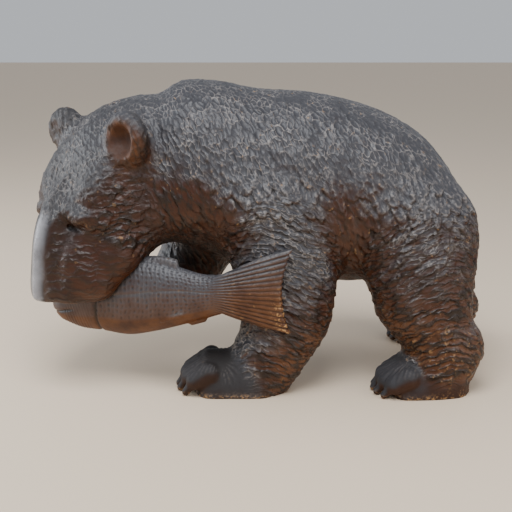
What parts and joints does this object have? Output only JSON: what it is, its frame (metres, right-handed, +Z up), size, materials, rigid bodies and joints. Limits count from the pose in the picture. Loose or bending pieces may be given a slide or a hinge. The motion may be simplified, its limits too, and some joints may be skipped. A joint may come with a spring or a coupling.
{
  "type": "carved wooden bear",
  "caption": "Bear carved from one block of dark-stained wood, walking with its head turned aside and a salmon held across its mouth; a free-standing ornament.",
  "frame": {"origin": "on the ground, under the middle of the bear's bounding box", "axes": "+X towards the tail end (the bear walks towards -X), +Y towards its right side, +Z up"},
  "size_m": [0.4272, 0.2082, 0.27],
  "materials": {
    "stained_wood": "satin dark stain, worn to tan on the ridges of the carving"
  },
  "bodies": {
    "root": {"carved_bear": "stained_wood"}
  },
  "joints": []
}
